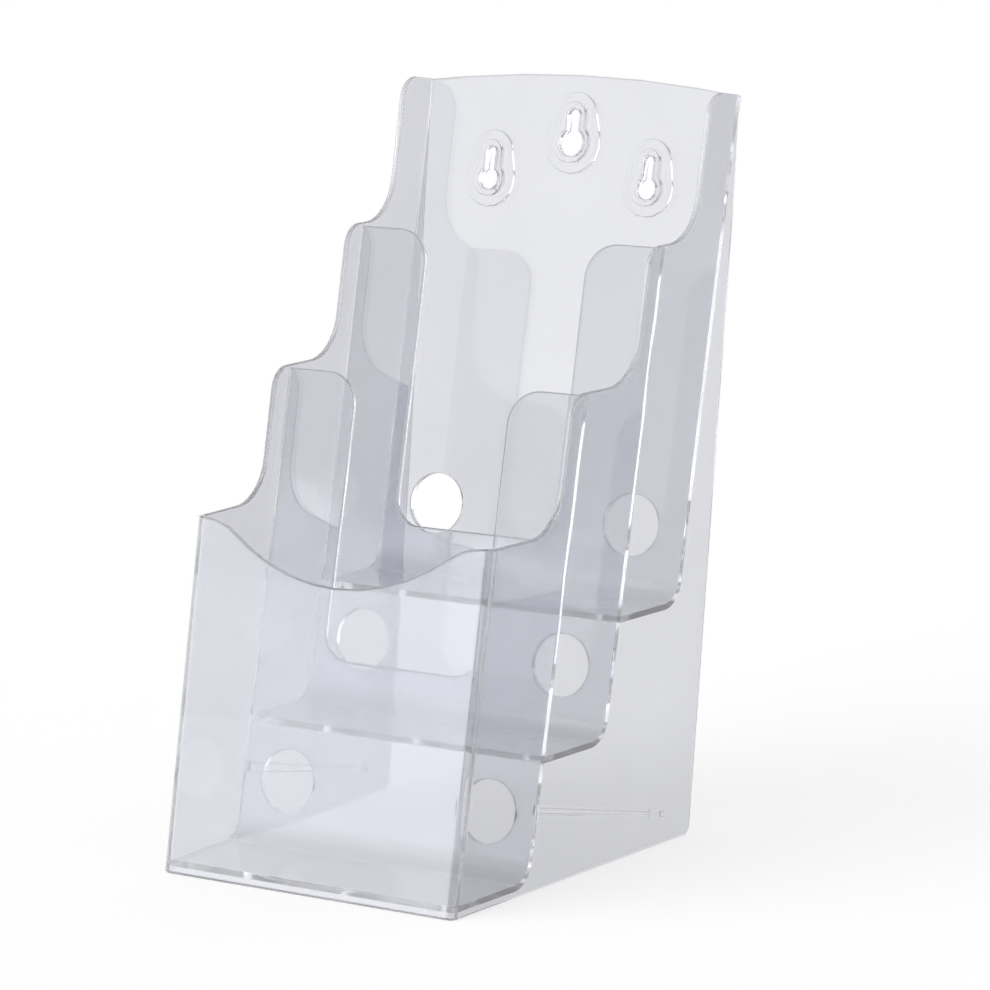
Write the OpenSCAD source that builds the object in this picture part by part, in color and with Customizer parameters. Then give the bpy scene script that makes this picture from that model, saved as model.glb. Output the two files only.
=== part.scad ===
// Three-pocket brochure rack for tall folded leaflets, bonded from clear plates.
// +Z is up and the pockets face -Y. The origin is on the table, under the middle of the rack.
// Inside the modules Y is measured from the front bottom edge.

/* [Side walls] */
// Outer width of the rack at its front bottom corners
rack_w = 112; // [106:1:130]
// Depth of the base, from the front bottom edge to the rear edge
base_d = 136; // [128:1:145]
// Outward flare of each side wall seen from above, in degrees
wall_flare = 1.9; // [0.5:0.1:4]
// Thickness of the side walls
wall_t = 2; // [1.5:0.1:3]
// Height of the side walls at their rear edge
rear_h = 243; // [240:1:255]
// Height of the side walls at their front top corner
top_h = 245.5; // [242:0.5:256]
// Backward lean of the walls' rear edge, in degrees
rear_lean = 6.8; // [5:0.1:8]
// Rise from the top of one step to the top of the next
step_rise = 42.5; // [38:0.5:46]
// How far the walls reach ahead of the two middle panels
reveal = 7.5; // [6:0.5:11]
// How far the walls reach ahead of the rear panel
top_reveal = 17; // [14:0.5:20]
// Radius of the outer corner of each step
step_r = 8.5; // [4:0.5:10]
// Radius of the hollow corner of each step
hollow_r = 17; // [10:0.5:18]
// Radius of the lower rear corner
foot_r = 4; // [1:0.5:8]

/* [Front panel] */
// Height of the front panel at its corners
front_h = 113; // [104:1:118]
// Backward lean of the front panel, in degrees
front_lean = 10.8; // [8:0.1:12]
// Outer radius of the two front corners
corner_r = 3.2; // [3:0.1:7]
// Length of the returns that carry the corners round to the side walls
return_l = 8; // [8:0.5:12]
// Depth of the dip in the top edge
dip_depth = 17.5; // [10:0.5:22]
// Level length of the top edge at each corner
dip_level = 3; // [1:0.5:6]
// Radius of the dip's two shoulders
shoulder_r = 20; // [10:1:25]

/* [Pocket trays] */
// Thickness of the front panel, the floors and the pocket panels
panel_t = 2; // [1.5:0.1:2.6]
// Backward lean of the pocket panels, in degrees
panel_lean = 12.2; // [11:0.1:13.5]
// Distance from one pocket panel to the next
panel_pitch = 35; // [30:0.5:36]
// Height of the front pocket's floor
first_floor_z = 4; // [3:0.5:8]
// Rise from one pocket floor to the next
floor_rise = 38; // [36:0.5:40]
// Inner radius of the bend from a floor into its panel
bend_r = 8; // [4:0.5:9]
// Bond line between bonded faces
bond = 0.1; // [0.05:0.05:0.2]

/* [Cut-outs] */
// Width of the upright left beside each finger cut-out
horn_w = 26.5; // [20:0.5:32]
// Radius of each upright's inner top corner
horn_r = 11.5; // [6:0.5:14]
// Drop of the uprights' top edge below the step beside it
horn_drop = 0.8; // [0:0.1:2]
// Height of the finger cut-out's edge above the floor behind it
cutout_up = 21.5; // [18:0.5:34]
// Radius of the finger cut-out's bottom corners
cutout_r = 9; // [8:1:20]
// Diameter of the round holes near the pocket floors
hole_d = 20.5; // [14:0.5:22]
// Distance of the round holes from the middle
hole_x = 38; // [30:0.5:40]
// Height of the lowest pair of round holes
first_hole_z = 23.5; // [23:0.5:28]
// Rise from one pair of round holes to the next
hole_rise = 39.5; // [38:0.5:41]

/* [Rear panel and keyholes] */
// Rise of the rear panel's arched top edge at its middle
arch_rise = 4; // [2:0.5:8]
// Diameter of the middle keyhole's round entry
mid_key_d = 9; // [7:0.5:10]
// Diameter of the side keyholes' round entries
side_key_d = 7; // [6:0.5:8]
// Width of the middle keyhole's slot
mid_slot_w = 4.4; // [3.5:0.1:5]
// Width of the side keyholes' slots
side_slot_w = 3.6; // [3:0.1:4.5]
// Height of the middle keyhole's entry above the base
mid_key_z = 224.5; // [218:0.5:226]
// Height of the side keyholes' entries above the base
side_key_z = 211; // [205:0.5:216]
// Distance of the side keyholes from the middle
side_key_x = 31; // [28:0.5:34]
// Rise of each slot's end above its entry
slot_rise = 9; // [7:0.5:11]
// Width of the collar round each keyhole
collar_w = 2.6; // [1.5:0.1:3]
// Height of the collar above its pad
collar_h = 1.2; // [0.6:0.1:2]
// Width of the pad outside the collar
pad_w = 3.4; // [2:0.1:4]
// Height of the pad above the panel
pad_h = 1; // [0.5:0.1:2]

/* [Wall ribs] */
// Length of the rib inside each side wall
rib_l = 66; // [50:1:70]
// Radius of the rib at its front end
rib_r = 1.9; // [1:0.1:2.2]
// Radius of the rib at its rear end
rib_tip_r = 0.7; // [0.4:0.1:1]
// Height of the rib's front end
rib_z = 25.5; // [20:0.5:30]
// Radius of the dot behind the rib
dot_r = 1.2; // [0.8:0.1:1.6]
// Distance from the rib's end to the dot
dot_gap = 8; // [2:0.5:10]

/* [Hidden] */
$fn = 64;
arc_steps = 10;
overrun = 2;
clear_tint = [0.84, 0.86, 0.90, 0.45];
tray_count = 3;
last_tray = tray_count - 1;
front_slope = tan(front_lean);
panel_slope = tan(panel_lean);
flare_slope = tan(wall_flare);
far = rear_h + base_d;

// Y of the walls' rear edge, and of the front faces of the pocket panels, at a height
function rear_y(z) = base_d + z * tan(rear_lean);
last_panel_y = rear_y(rear_h) - rear_h * panel_slope - panel_t / cos(panel_lean);
function panel_y(i, z) = last_panel_y - (last_tray - i) * panel_pitch + z * panel_slope;
function panel_back_y(i, z) = panel_y(i, z) + panel_t / cos(panel_lean);
function front_back_y(z) = z * front_slope + panel_t / cos(front_lean);

// Tops of the steps, heights of the floors, and places along a leaning panel
function step_z(i) = front_h + i * step_rise;
function floor_z(i) = first_floor_z + i * floor_rise;
function up_panel(z) = z / cos(panel_lean);

// Half of the room between the side walls at a depth
function inner_half(y) = rack_w / 2 - (wall_t + bond) / cos(wall_flare) + y * flare_slope;

apex_v = up_panel(rear_h + arch_rise);
depth = panel_y(last_tray, 0) + apex_v * sin(panel_lean) + panel_t * cos(panel_lean);

// Points of an arc, and of an outline whose corners [x, y, radius] are rounded
function arc(centre, r, from, to) =
    [for (i = [0:arc_steps]) let (a = from + (to - from) * i / arc_steps)
        centre + r * [cos(a), sin(a)]];
function unit(v) = v / norm(v);
function xy(p) = [p[0], p[1]];
function rounded_corner(before, p, after, r) =
    let (u = unit(before - p), v = unit(after - p))
    let (half = acos(u * v) / 2)
    let (centre = p + unit(u + v) * r / sin(half))
    let (start = p + u * r / tan(half) - centre)
    let (from = atan2(start[1], start[0]))
    let (side = sign(cross(p - before, after - p)))
    arc(centre, r, from, from + side * (180 - 2 * half));
function rounded(corners) =
    let (n = len(corners))
    [for (i = [0:n - 1]) let (c = corners[i])
        each c[2] == 0 ? [xy(c)]
            : rounded_corner(xy(corners[(i + n - 1) % n]), xy(c), xy(corners[(i + 1) % n]), c[2])];

module place() color(clear_tint) translate([0, -depth / 2, 0]) children();

// Puts a drawing on a leaning plane: X across, Y up the plane, Z out of it to the front
module on_plane(y, lean) translate([0, y, 0]) rotate([90 - lean, 0, 0]) children();
module on_panel(i) on_plane(panel_y(i, 0), panel_lean) children();

// The room between the two wall planes, narrowed by an inset at each side
module room(inset, height) {
    half = rack_w / 2 - inset / cos(wall_flare);
    spread = far * flare_slope;
    linear_extrude(height)
        polygon([[-half + spread, -far], [half - spread, -far], [half + spread, far], [-half - spread, far]]);
}

// A plate in the plane of the right wall, drawn by depth and height
module wall_plate(points)
    translate([rack_w / 2, 0, 0]) rotate(-wall_flare) translate([-wall_t, 0, 0])
        rotate([90, 0, 90]) linear_extrude(wall_t) polygon(points);

module wall_rib() {
    start_y = panel_back_y(0, rib_z) + bond;
    translate([rack_w / 2, 0, 0]) rotate(-wall_flare) translate([-wall_t, start_y, rib_z])
        intersection() {
            rotate([-90 - panel_lean, 0, 0]) {
                cylinder(h = rib_l, r1 = rib_r, r2 = rib_tip_r);
                translate([0, 0, rib_l + dot_gap]) sphere(dot_r);
            }
            translate([-2 * rib_r, -rib_l, -rib_l])
                cube([2 * rib_r + wall_t / 2, 3 * rib_l, 2 * rib_l]);
        }
}

module right_wall() {
    joint_y = return_l + bond;
    wall_corners = [
        [joint_y, 0, 0],
        [base_d, 0, foot_r],
        [rear_y(rear_h), rear_h, 0],
        [panel_y(2, top_h) - top_reveal, top_h, step_r],
        [panel_y(2, step_z(2)) - top_reveal, step_z(2), hollow_r],
        [panel_y(1, step_z(2)) - reveal, step_z(2), step_r],
        [panel_y(1, step_z(1)) - reveal, step_z(1), hollow_r],
        [panel_y(0, step_z(1)) - reveal, step_z(1), step_r],
        [panel_y(0, front_h) - reveal, front_h, hollow_r],
        [joint_y + front_h * front_slope, front_h, 0],
    ];
    wall_plate(rounded(wall_corners));
    wall_rib();
}

module right_side_wall() place() right_wall();
module left_side_wall() place() mirror([1, 0, 0]) right_wall();

// The leaning line where the front plane meets the right wall's plane: a section is drawn
// square to it, with X out of the corner
front_normal = [0, -cos(front_lean), sin(front_lean)];
wall_normal = [cos(wall_flare), -sin(wall_flare), 0];
corner_half = acos(front_normal * wall_normal) / 2;
module on_corner() {
    out = unit(front_normal + wall_normal);
    along = unit(cross(wall_normal, front_normal));
    side = cross(along, out);
    multmatrix([
        [out[0], side[0], along[0], rack_w / 2],
        [out[1], side[1], along[1], 0],
        [out[2], side[2], along[2], 0],
    ]) translate([0, 0, -2 * front_h]) linear_extrude(4 * front_h) children();
}
// Where the inner faces of the front panel and its return meet in that section
inner_corner = [
    -(panel_t + wall_t) / 2 / cos(corner_half),
    (wall_t - panel_t) / 2 / sin(corner_half),
];

module both_sides() {
    children();
    mirror([1, 0, 0]) children();
}
// What a round takes off the corners at a point of that section. The ends of its arc run on
// past the faces that they start from
module corner_waste(p, r) {
    front_way = [-sin(corner_half), cos(corner_half)];
    wall_way = [-sin(corner_half), -cos(corner_half)];
    bow = rounded_corner(p + front_way, p, p + wall_way, r);
    both_sides() on_corner() polygon(concat(
        [2 * bow[0] - bow[1]],
        [for (i = [1:arc_steps - 1]) bow[i]],
        [2 * bow[arc_steps] - bow[arc_steps - 1], p + [overrun, 0]]
    ));
}
// The block behind the front plane and between the wall planes, each moved in by an inset
module front_block(front_inset, wall_inset, corner, r) difference() {
    intersection() {
        translate([0, 0, -far]) room(wall_inset, 2 * far);
        on_plane(0, front_lean) translate([-far, -far, -far - front_inset])
            cube([2 * far, 3 * far, far]);
    }
    corner_waste(corner, r);
}
// What lies ahead of the end of the right return
module ahead_of_return()
    translate([rack_w / 2, 0, 0]) rotate(-wall_flare) translate([-far, 0, 0])
        rotate([90, 0, 90]) linear_extrude(2 * far)
            polygon([
                [-far, -far],
                [return_l - far * front_slope, -far],
                [return_l + far * front_slope, far],
                [-far, far],
            ]);

module front_dip() {
    top_v = front_h / cos(front_lean);
    half = rack_w / 2 - dip_level;
    reach = (half * half + dip_depth * dip_depth) / (2 * dip_depth);
    bottom_r = reach - shoulder_r;
    turn = asin(half / reach);
    polygon(concat(
        [[-half, top_v + overrun]],
        arc([-half, top_v - shoulder_r], shoulder_r, 90, 90 - turn),
        arc([0, top_v - dip_depth + bottom_r], bottom_r, -90 - turn, -90 + turn),
        arc([half, top_v - shoulder_r], shoulder_r, 90 + turn, 90),
        [[half, top_v + overrun]]
    ));
}

module front_panel() place() difference() {
    intersection() {
        front_block(0, 0, [0, 0], corner_r);
        ahead_of_return();
        mirror([1, 0, 0]) ahead_of_return();
        translate([-far, -far, 0]) cube([2 * far, 2 * far, front_h]);
    }
    front_block(panel_t, wall_t, inner_corner, corner_r - wall_t);
    on_plane(0, front_lean) translate([0, 0, -corner_r])
        linear_extrude(corner_r + overrun) front_dip();
}

// A floor that bends up into the panel behind it, seen from the side
module tray_section(i, front_y, front_slant) {
    top_z = floor_z(i);
    bend_z = top_z + bend_r;
    bend_y = panel_y(i, bend_z) - bend_r / cos(panel_lean);
    end_v = 2 * far;
    end = [panel_y(i, 0), 0] + end_v * [sin(panel_lean), cos(panel_lean)];
    through = panel_t * [cos(panel_lean), -sin(panel_lean)];
    polygon(concat(
        [[front_y + front_slant * (top_z - panel_t), top_z - panel_t]],
        arc([bend_y, bend_z], bend_r + panel_t, -90, -panel_lean),
        [end + through, end],
        arc([bend_y, bend_z], bend_r, -panel_lean, -90),
        [[front_y + front_slant * top_z, top_z]]
    ));
}

// A tray between the walls, cut to the outline that the children draw on its panel
module tray(i, front_y, front_slant) intersection() {
    room(wall_t + bond, far);
    rotate([90, 0, 90]) linear_extrude(2 * rack_w, center = true)
        tray_section(i, front_y, front_slant);
    on_panel(i) translate([0, 0, -rack_w]) linear_extrude(2 * rack_w) children();
}

module round_holes(i)
    for (side = [-1, 1])
        on_panel(i) translate([side * hole_x, up_panel(first_hole_z + i * hole_rise), -panel_t - overrun])
            cylinder(d = hole_d, h = panel_t + 2 * overrun);

// Outline of a panel with two uprights beside a finger cut-out
module horned_outline(i) {
    top = up_panel(step_z(i + 1) - horn_drop);
    low = up_panel(floor_z(i + 1) + cutout_up);
    half = inner_half(panel_y(i, (step_z(i + 1) + floor_z(i + 1)) / 2)) - horn_w;
    polygon(rounded([
        [-rack_w, -rack_w, 0],
        [rack_w, -rack_w, 0],
        [rack_w, top, 0],
        [half, top, horn_r],
        [half, low, cutout_r],
        [-half, low, cutout_r],
        [-half, top, horn_r],
        [-rack_w, top, 0],
    ]));
}

module front_pocket_tray() place() difference() {
    tray(0, front_back_y(0) + bond, front_slope) horned_outline(0);
    round_holes(0);
}

module middle_pocket_tray() place() difference() {
    tray(1, panel_back_y(0, 0) + bond, panel_slope) horned_outline(1);
    round_holes(1);
}

// Outline of the rear panel, under an arched top edge
module arched_outline() {
    half = inner_half(rear_y(rear_h));
    arch_r = (half * half + arch_rise * arch_rise) / (2 * arch_rise);
    turn = asin(rack_w / arch_r);
    polygon(concat(
        [[-rack_w, -rack_w], [rack_w, -rack_w]],
        arc([0, apex_v - arch_r], arch_r, 90 - turn, 90 + turn)
    ));
}

// Two round ends, one above the other by the slot's rise, and the straight sides that touch them
module egg_outline(low_r, high_r) {
    tilt = asin((low_r - high_r) / slot_rise);
    polygon(concat(
        arc([0, slot_rise], high_r, tilt, 180 - tilt),
        arc([0, 0], low_r, 180 - tilt, 360 + tilt)
    ));
}
// A keyhole's outline, widened all round by a margin
module keyhole_outline(entry_d, slot_w, margin) {
    low_r = entry_d / 2 + margin;
    high_r = slot_w / 2 + margin;
    turn = acos(high_r / low_r);
    polygon(concat(
        arc([0, slot_rise], high_r, 0, 180),
        arc([0, 0], low_r, 180 - turn, 360 + turn)
    ));
}

keyholes = [
    [-side_key_x, side_key_z, side_key_d, side_slot_w],
    [0, mid_key_z, mid_key_d, mid_slot_w],
    [side_key_x, side_key_z, side_key_d, side_slot_w],
];
module at_keyhole(k) on_panel(last_tray) translate([k[0], up_panel(k[1]), 0]) children();

module keyhole_boss(k) {
    edge = collar_w + pad_w;
    at_keyhole(k) {
        translate([0, 0, -panel_t / 2]) linear_extrude(panel_t / 2 + pad_h)
            egg_outline(k[2] / 2 + edge, k[3] / 2 + edge);
        translate([0, 0, -panel_t / 2]) linear_extrude(panel_t / 2 + pad_h + collar_h)
            keyhole_outline(k[2], k[3], collar_w);
    }
}
module keyhole_cut(k) {
    cut_h = panel_t + pad_h + collar_h + 2 * overrun;
    at_keyhole(k) translate([0, 0, -panel_t - overrun]) {
        cylinder(d = k[2], h = cut_h);
        linear_extrude(cut_h) egg_outline(k[3] / 2, k[3] / 2);
    }
}

module rear_pocket_tray() place() difference() {
    union() {
        tray(last_tray, panel_back_y(1, 0) + bond, panel_slope) arched_outline();
        for (k = keyholes) keyhole_boss(k);
    }
    round_holes(last_tray);
    for (k = keyholes) keyhole_cut(k);
}

front_panel();
left_side_wall();
right_side_wall();
front_pocket_tray();
middle_pocket_tray();
rear_pocket_tray();
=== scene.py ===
# %% [markdown]
# # A clear brochure rack
# The rack is six clear plates: a front, two stepped side walls and three trays, one behind the other.
# Its frame was modelled first, in real sizes. This notebook rounds copies of the plates, joins them into
# one moulding, parts that into plates again and gives them their finish. A plain studio comes last.
# Lengths are in metres.

# %% Load the frame
import math

import bmesh
import bpy
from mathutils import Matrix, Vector


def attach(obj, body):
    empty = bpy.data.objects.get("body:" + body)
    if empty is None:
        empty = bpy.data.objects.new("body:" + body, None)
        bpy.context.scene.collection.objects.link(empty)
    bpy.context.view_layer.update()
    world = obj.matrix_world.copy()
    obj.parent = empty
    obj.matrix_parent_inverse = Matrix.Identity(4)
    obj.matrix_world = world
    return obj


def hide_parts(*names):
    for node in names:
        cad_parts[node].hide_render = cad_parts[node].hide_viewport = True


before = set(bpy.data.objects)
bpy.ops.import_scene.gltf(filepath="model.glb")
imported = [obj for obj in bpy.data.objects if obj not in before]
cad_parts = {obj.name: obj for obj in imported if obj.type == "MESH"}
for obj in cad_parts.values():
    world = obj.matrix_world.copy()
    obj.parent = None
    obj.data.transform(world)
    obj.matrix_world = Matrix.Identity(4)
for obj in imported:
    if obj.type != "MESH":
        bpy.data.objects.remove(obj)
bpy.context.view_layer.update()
MM = 0.001
print("plates:", ", ".join(sorted(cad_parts)))

# %% [markdown]
# ## The camera
# The photograph was taken from the rack's right, a little above it, with a long lens. A camera placed by
# eye leaves every edge a little off, so this one's place and its two angles come from a fit to the outline
# and the holes. A focal length in pixels of the photograph turns into a lens by the width of the sensor.

# %% Camera
PHOTO_PIXELS = 990
FOCAL_PIXELS = 4568.3
CAMERA_PLACE = Vector((0.8059, -1.2199, 0.3699))
CAMERA_AZIMUTH = math.radians(32.86)
CAMERA_ELEVATION = math.radians(9.85)

scene = bpy.context.scene
camera_data = bpy.data.cameras.new("camera")
camera_data.lens = camera_data.sensor_width * FOCAL_PIXELS / PHOTO_PIXELS
camera = bpy.data.objects.new("camera", camera_data)
camera.location = CAMERA_PLACE
camera.rotation_euler = (math.pi / 2 - CAMERA_ELEVATION, 0, CAMERA_AZIMUTH)
scene.collection.objects.link(camera)
scene.camera = camera
print("lens:", round(camera_data.lens, 1), "mm")

# %% [markdown]
# ## Sums on sockets
# Each step of shader maths is a node, and nodes wired one by one hide what they work out. This class wraps
# one socket instead: a sum on it adds a Math node, and its `node` method adds any other node.


# %% Socket class
class Socket:
    """One output socket of a node tree, open to plain sums."""

    def __init__(self, tree, socket=None):
        self.tree = tree
        self.socket = socket

    def node(self, kind, settings=None, values=None, output=0):
        made = self.tree.nodes.new(kind)
        for name, value in (settings or {}).items():
            setattr(made, name, value)
        for name, value in (values or {}).items():
            if isinstance(value, Socket):
                self.tree.links.new(value.socket, made.inputs[name])
            else:
                made.inputs[name].default_value = value
        return Socket(self.tree, made.outputs[output] if made.outputs else None)

    def sum(self, operation, first, second):
        return self.node("ShaderNodeMath", {"operation": operation}, {0: first, 1: second})

    def __add__(self, other):
        return self.sum("ADD", self, other)

    def __radd__(self, other):
        return self.sum("ADD", other, self)

    def __sub__(self, other):
        return self.sum("SUBTRACT", self, other)

    def __rsub__(self, other):
        return self.sum("SUBTRACT", other, self)

    def __mul__(self, other):
        return self.sum("MULTIPLY", self, other)

    def __rmul__(self, other):
        return self.sum("MULTIPLY", other, self)


def new_tree(owner):
    owner.use_nodes = True
    owner.node_tree.nodes.clear()
    return Socket(owner.node_tree)


print("sums on sockets: plus, minus and times")

# %% [markdown]
# ## Clear moulded plastic
# The rack is clear polystyrene with a grey-lavender cast and a faint veil of haze. Light bends in it
# strongly, so its edges show as dark and bright lines. A volume could take the light away on its path
# through the plastic, but in plates of one thickness a tint on their faces does the same with less noise.
# Moulded plate is never quite flat: a slow wave in the surface makes what is seen through it wander. Fine
# scuffs change how glossy it is.

# %% Clear plastic
PLASTIC_IOR = 1.58
CLEAR_TINT = (0.71, 0.715, 0.75, 1)
HAZY_TINT = (0.64, 0.645, 0.68, 1)
HAZE_LENGTH = 55 * MM
HAZE_DETAIL = 3.0
WAVE_LENGTH = 45 * MM
WAVE_DETAIL = 1.0
WAVE_HEIGHT = 0.3 * MM
SCUFF_LENGTH = 2.5 * MM
SCUFF_DETAIL = 4.0
POLISHED = 0.02
SCUFFED = 0.05
MIX_FACTOR, MIX_FIRST, MIX_SECOND, MIX_COLOUR = 0, 6, 7, 2


def noise(make, length, detail):
    place = make.node("ShaderNodeTexCoord", output="Object")
    return make.node(
        "ShaderNodeTexNoise", values={"Vector": place, "Scale": 1 / length, "Detail": detail})


def clear_plastic():
    material = bpy.data.materials.new("clear_plastic")
    make = new_tree(material)
    haze = noise(make, HAZE_LENGTH, HAZE_DETAIL)
    scuff = noise(make, SCUFF_LENGTH, SCUFF_DETAIL)
    wave = noise(make, WAVE_LENGTH, WAVE_DETAIL)
    tint = make.node(
        "ShaderNodeMix", {"data_type": "RGBA"},
        {MIX_FACTOR: haze, MIX_FIRST: CLEAR_TINT, MIX_SECOND: HAZY_TINT}, MIX_COLOUR)
    relief = make.node(
        "ShaderNodeBump", values={"Height": wave, "Distance": WAVE_HEIGHT, "Strength": 1.0})
    shader = make.node("ShaderNodeBsdfPrincipled", values={
        "Base Color": tint,
        "Roughness": POLISHED + SCUFFED * scuff,
        "IOR": PLASTIC_IOR,
        "Transmission Weight": 1.0,
        "Normal": relief,
    })
    make.node("ShaderNodeOutputMaterial", values={"Surface": shader})
    return material


plastic = clear_plastic()
print("finish:", plastic.name, "with", len(plastic.node_tree.nodes), "nodes")

# %% [markdown]
# ## Copies of the plates
# In the frame a fine bond line keeps the plates apart. On the real rack the plastic runs on from plate
# to plate. Plates that only touch or overlap would give themselves away, because light bends at every face
# it meets, so copies of the plates are rounded and then joined. Each face carries the number of its plate
# as its material index, so that the joined skin can be parted into plates again at the end.

# %% Copies of the plates
PLATES = [
    "front_panel", "left_side_wall", "right_side_wall",
    "front_pocket_tray", "middle_pocket_tray", "rear_pocket_tray"]
FRONT, LEFT, RIGHT = range(3)
SHELL = PLATES[:3]
TRAYS = PLATES[3:]
WELD = 0.002 * MM
FLAT_ANGLE = math.radians(0.5)


def merge_flat(form, limits):
    bmesh.ops.remove_doubles(form, verts=form.verts, dist=WELD)
    bmesh.ops.dissolve_limit(
        form, angle_limit=FLAT_ANGLE, verts=form.verts, edges=form.edges, delimit=limits)
    form.normal_update()


def plate_form(name):
    form = bmesh.new()
    form.from_mesh(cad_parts[name].data)
    merge_flat(form, set())
    for face in form.faces:
        face.material_index = PLATES.index(name)
    return form


def open_edges(form):
    return sum(len(edge.link_faces) != 2 for edge in form.edges)


print("plates to join:", len(PLATES))

# %% [markdown]
# ## Front and walls
# The front panel wraps round its corners in two short returns, and each return meets a wall end on. A
# boolean joins solids that overlap, but these only face each other. So the two end faces of such a joint
# go, and the points round them are welded: the corner then has no line in it, as on a moulding.

# %% Shell of the front and the walls
BOND_REACH = 0.2 * MM
FACING = 0.9
CORNER_X = 50 * MM


def centre(face):
    return face.calc_center_median()


def loose_shell():
    shell = bmesh.new()
    for name in SHELL:
        form = plate_form(name)
        loose = bpy.data.meshes.new("loose")
        form.to_mesh(loose)
        form.free()
        shell.from_mesh(loose)
        bpy.data.meshes.remove(loose)
    shell.normal_update()
    return shell


def joint_faces(shell, wall, side):
    backward = [face for face in shell.faces if face.normal.y > FACING and face.material_index == FRONT]
    forward = [face for face in shell.faces if face.normal.y < -FACING and face.material_index == wall]
    returns = [face for face in backward if side * centre(face).x > CORNER_X]
    return [max(returns, key=lambda face: centre(face).y), min(forward, key=lambda face: centre(face).y)]


shell = loose_shell()
ends = joint_faces(shell, LEFT, -1) + joint_faces(shell, RIGHT, 1)
rim = list({vert: None for face in ends for vert in face.verts})
bmesh.ops.delete(shell, geom=ends, context="FACES_ONLY")
bmesh.ops.remove_doubles(shell, verts=rim, dist=BOND_REACH)
print("shell of", len(shell.faces), "faces, open edges:", open_edges(shell))

# %% [markdown]
# ## Rounded edges
# A mould leaves no knife edges: the edges of these plates are nearly half round. With one width for all
# edges some rounds would run into the next, so a bevel weight on each edge says how wide its round is, and
# narrow faces, such as the steps round the keyholes, get less. The trays are joined in after this, because
# a bevel that crosses a join folds over. A round gets the number of its plate plus six.

# %% Rounds
SHELL_ROUND = 0.85 * MM
TRAY_ROUND = 0.8 * MM
LEAST_ROUND = 0.12 * MM
ROUND_SHARE = 0.43
EDGE_ANGLE = math.radians(35)
ROUND_STEPS = 4
ROUND = len(PLATES)
SLOTS = 2 * ROUND
NEW_ROUND = SLOTS - 1


def round_width(edge, widest):
    if edge.calc_face_angle_signed() < EDGE_ANGLE:
        return 0
    narrowest = min(face.calc_area() for face in edge.link_faces) / edge.calc_length()
    width = min(widest, ROUND_SHARE * narrowest)
    return width if width > LEAST_ROUND else 0


def plate_object(form, name):
    mesh = bpy.data.meshes.new(name)
    form.to_mesh(mesh)
    form.free()
    for _ in range(SLOTS):
        mesh.materials.append(plastic)
    made = bpy.data.objects.new(name, mesh)
    scene.collection.objects.link(made)
    return made


def settled(made):
    """The object's mesh with its modifiers worked in; the object goes."""
    graph = bpy.context.evaluated_depsgraph_get()
    mesh = bpy.data.meshes.new_from_object(made.evaluated_get(graph))
    raw = made.data
    bpy.data.objects.remove(made)
    bpy.data.meshes.remove(raw)
    form = bmesh.new()
    form.from_mesh(mesh)
    bpy.data.meshes.remove(mesh)
    return form


def number_rounds(form):
    """Plate numbers spread from the flat faces over the rounds between them."""
    queue = [face for face in form.faces if face.material_index != NEW_ROUND]
    done = set(queue)
    for face in queue:
        for edge in face.edges:
            for other in edge.link_faces:
                if other not in done:
                    other.material_index = ROUND + face.material_index % ROUND
                    done.add(other)
                    queue.append(other)


def rounded(form, name, widest, keep=()):
    weights = form.edges.layers.float.new("bevel_weight_edge")
    sharp = {edge for face in keep for edge in face.edges}
    for edge in form.edges:
        edge[weights] = 0 if edge in sharp else round_width(edge, widest) / widest
    plate = plate_object(form, name)
    bevel = plate.modifiers.new("rounds", "BEVEL")
    bevel.limit_method = "WEIGHT"
    bevel.width = widest
    bevel.segments = ROUND_STEPS
    bevel.use_clamp_overlap = False
    bevel.material = NEW_ROUND
    form = settled(plate)
    number_rounds(form)
    rounds = sum(face.material_index >= ROUND for face in form.faces)
    print(name, "rounds:", rounds, "of", len(form.faces), "faces, open edges:", open_edges(form))
    return form


shell = rounded(shell, "shell", SHELL_ROUND)

# %% [markdown]
# ## Trays
# A tray is a floor that bends up into a panel. It ends on the walls and on the panel in front of it. These
# ends and the front edge of its floor stay sharp and are pushed a little way into the plates they meet. A
# boolean union then joins them, and the inner faces vanish. Its manifold solver keeps every small part.

# %% Join the trays
TRAY_REACH = 0.6 * MM
END_SHARE = 0.9
LEAD_DEPTH = 2 * MM


def meeting_faces(form):
    """The faces at a tray's two ends, and those of the front edge of its floor."""
    half = max(vert.co.x for vert in form.verts)
    lead = min(vert.co.y for vert in form.verts)
    sideways = [face for face in form.faces if abs(face.normal.x) > FACING]
    forward = [face for face in form.faces if face.normal.y < -FACING]
    ends = [face for face in sideways if abs(centre(face).x) > END_SHARE * half]
    edge = [face for face in forward if centre(face).y < lead + LEAD_DEPTH]
    return ends, edge


def push_out(faces):
    ways = {vert: face.normal.copy() for face in faces for vert in face.verts}
    for vert, way in ways.items():
        vert.co += TRAY_REACH * way


def long_tray(name):
    form = plate_form(name)
    ends, edge = meeting_faces(form)
    form = rounded(form, name, TRAY_ROUND, ends + edge)
    for faces in meeting_faces(form):
        push_out(faces)
    return plate_object(form, name + "_copy")


moulding = plate_object(shell, "moulding")
copies = [long_tray(name) for name in TRAYS]
for copy in copies:
    join = moulding.modifiers.new(copy.name, "BOOLEAN")
    join.operation = "UNION"
    join.solver = "MANIFOLD"
    join.material_mode = "INDEX"
    join.object = copy
joined = settled(moulding)
for copy in copies:
    settled(copy).free()
merge_flat(joined, {"MATERIAL"})
print("one moulding of", len(joined.faces), "faces,", round(joined.calc_volume() / MM**3), "mm3")
print("open edges:", open_edges(joined))

# %% [markdown]
# ## Normals
# Clear plastic shows the least dent in a flat face, and plain smooth shading bends the normals of flat
# faces towards their rounds. The Weighted Normal modifier goes by size and angle and can't tell a round
# from a bend. So here a flat face keeps its own normal, the faces of a bend share theirs by size, and a
# round takes on the normals of the flat faces it runs into.

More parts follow.
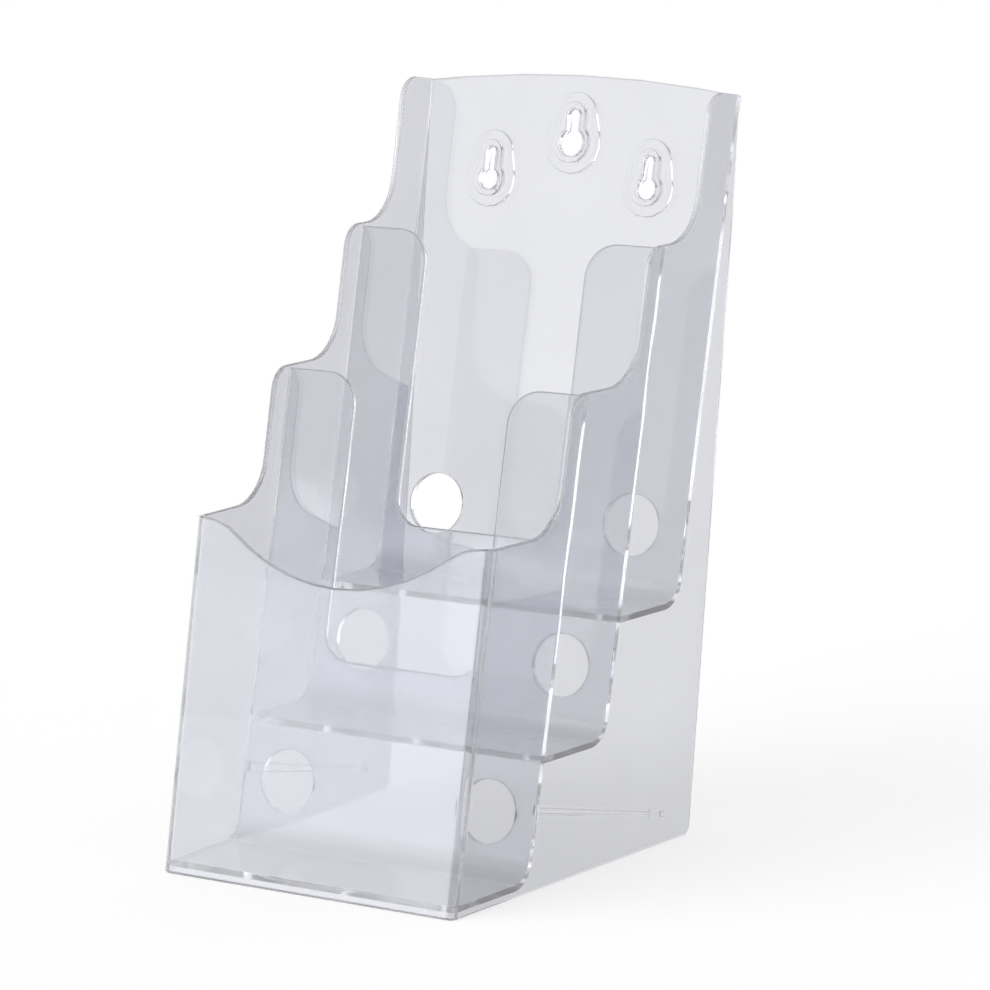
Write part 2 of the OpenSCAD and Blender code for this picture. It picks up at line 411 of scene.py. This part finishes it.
# %% Normals
ONE_BEND = math.cos(EDGE_ANGLE)


def corner_normal(face, vert):
    near = [other for other in vert.link_faces if other.normal.dot(face.normal) > ONE_BEND]
    flats = [other for other in near if other.material_index < ROUND]
    total = Vector()
    for other in flats or near:
        total += other.calc_area()**2 / MM**4 * other.normal
    return total.normalized()


normals = {face: [corner_normal(face, vert) for vert in face.verts] for face in joined.faces}
print("normals:", sum(len(each) for each in normals.values()))

# %% [markdown]
# ## Parted into plates
# The real rack is one skin, but here each plate is a piece that stands in for its solid in the frame. So
# the skin is shared out by plate number. Each plate keeps the normals that the whole moulding gave it, and
# the shine runs over the borders without a line.


# %% Plates
def part_plate(number, name):
    faces = [face for face in joined.faces if face.material_index % ROUND == number]
    points = list({vert: None for face in faces for vert in face.verts})
    place = {vert: index for index, vert in enumerate(points)}
    mesh = bpy.data.meshes.new(name + "_plate")
    mesh.from_pydata(
        [vert.co for vert in points], [], [[place[vert] for vert in face.verts] for face in faces])
    mesh.shade_smooth()
    mesh.normals_split_custom_set([normal for face in faces for normal in normals[face]])
    mesh.materials.append(plastic)
    plate = bpy.data.objects.new(name + "_plate", mesh)
    scene.collection.objects.link(plate)
    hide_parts(name)
    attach(plate, "root")
    return plate


for number, name in enumerate(PLATES):
    plate = part_plate(number, name)
    print(plate.name, len(plate.data.polygons), "faces")
joined.free()

# %% [markdown]
# ## The studio
# The rack stands on white. A floor and a sky lit up to white would light the rack too much, so both are
# only pale, and the sky darkens overhead, which draws the edges in grey. To the camera, and to what it
# sees by way of the plastic, they are lifted to white. The lift lights nothing else, and the floor still
# takes the rack's shadow.

# %% Studio
FLOOR_SIZE = 12.0
FLOOR_COLOUR = (0.62, 0.62, 0.62, 1)
FLOOR_LIFT = 0.72
SKY_COLOUR = (1, 1, 1, 1)
SKY_DIM = 0.34
DUSK_FOOT = 0.3
DUSK_TOP = 0.7
ZENITH = 0.25


def seen(make):
    """1 for what the camera sees, straight or by way of gloss and clear plastic, and 0 for light."""
    camera_ray = make.node("ShaderNodeLightPath", output="Is Camera Ray")
    glossy_ray = make.node("ShaderNodeLightPath", output="Is Glossy Ray")
    through_ray = make.node("ShaderNodeLightPath", output="Is Transmission Ray")
    return make.sum("MINIMUM", camera_ray + glossy_ray + through_ray, 1.0)


def white_floor():
    material = bpy.data.materials.new("white_floor")
    make = new_tree(material)
    matt = make.node("ShaderNodeBsdfDiffuse", values={"Color": FLOOR_COLOUR})
    lift = make.node("ShaderNodeEmission", values={"Strength": FLOOR_LIFT * seen(make)})
    both = make.node("ShaderNodeAddShader", values={0: matt, 1: lift})
    make.node("ShaderNodeOutputMaterial", values={"Surface": both})
    return material


def pale_sky():
    world = bpy.data.worlds.new("sky")
    make = new_tree(world)
    way = make.node("ShaderNodeTexCoord", output="Generated")
    height = make.node("ShaderNodeSeparateXYZ", values={"Vector": way}, output="Z")
    dusk = make.node("ShaderNodeMapRange", {"interpolation_type": "SMOOTHSTEP"}, {
        "Value": height, "From Min": DUSK_FOOT, "From Max": DUSK_TOP, "To Min": 1.0, "To Max": ZENITH})
    unseen = 1 - seen(make)
    strength = dusk * (1 - SKY_DIM * unseen)
    light = make.node("ShaderNodeBackground", values={"Color": SKY_COLOUR, "Strength": strength})
    make.node("ShaderNodeOutputWorld", values={"Surface": light})
    return world


bpy.ops.mesh.primitive_plane_add(size=FLOOR_SIZE)
floor = bpy.context.object
floor.name = "floor"
floor.data.materials.append(white_floor())
scene.world = pale_sky()
print("floor:", FLOOR_SIZE, "m, light of the sky:", round(1 - SKY_DIM, 2))

# %% [markdown]
# ## The lamps
# The light in the photograph is broad and comes from the front left. A lamp with a wide disc gives it.
# The front panel also mirrors something pale and low, which lays a light veil over it. An upright panel
# of light near the floor stands for that. The plates further up lean past it and stay clear. Close by, it
# would show through the plates from behind, so it stands well back.

# %% Lamps
LAMP_AZIMUTH = math.radians(-33)
LAMP_ELEVATION = math.radians(28)
LAMP_SPREAD = math.radians(60)
LAMP_LIGHT = 1.1
VEIL_PLACE = Vector((-1.665, -2.57, 0.335))
VEIL_WIDTH = 0.8
VEIL_HEIGHT = 0.63
VEIL_LIGHT = 1.5
VEIL_COLOUR = (0.90, 0.94, 1.0)


def add_lamp(name, kind, elevation, energy):
    data = bpy.data.lights.new(name, kind)
    data.energy = energy
    lamp = bpy.data.objects.new(name, data)
    lamp.rotation_euler = (math.pi / 2 - elevation, 0, LAMP_AZIMUTH)
    scene.collection.objects.link(lamp)
    return lamp


broad = add_lamp("broad lamp", "SUN", LAMP_ELEVATION, LAMP_LIGHT)
broad.data.angle = LAMP_SPREAD

veil = add_lamp("veil lamp", "AREA", 0, math.pi * VEIL_LIGHT * VEIL_WIDTH * VEIL_HEIGHT)
veil.location = VEIL_PLACE
veil.data.shape = "RECTANGLE"
veil.data.size = VEIL_WIDTH
veil.data.size_y = VEIL_HEIGHT
veil.data.color = VEIL_COLOUR
print("lamps:", round(broad.data.energy, 2), "W/m2 and", round(veil.data.energy, 2), "W")

# %% [markdown]
# ## Light paths
# A ray through this rack may cross a dozen plates and bounce inside their edges. The usual number of
# bounces ends such rays early and leaves black edges, so these limits are high.

# %% Light paths
BOUNCES = 128
BOUNCES_THROUGH = 64

scene.cycles.max_bounces = BOUNCES
scene.cycles.glossy_bounces = BOUNCES
scene.cycles.transmission_bounces = BOUNCES_THROUGH
scene.view_settings.view_transform = "Standard"
print("bounces:", scene.cycles.max_bounces)
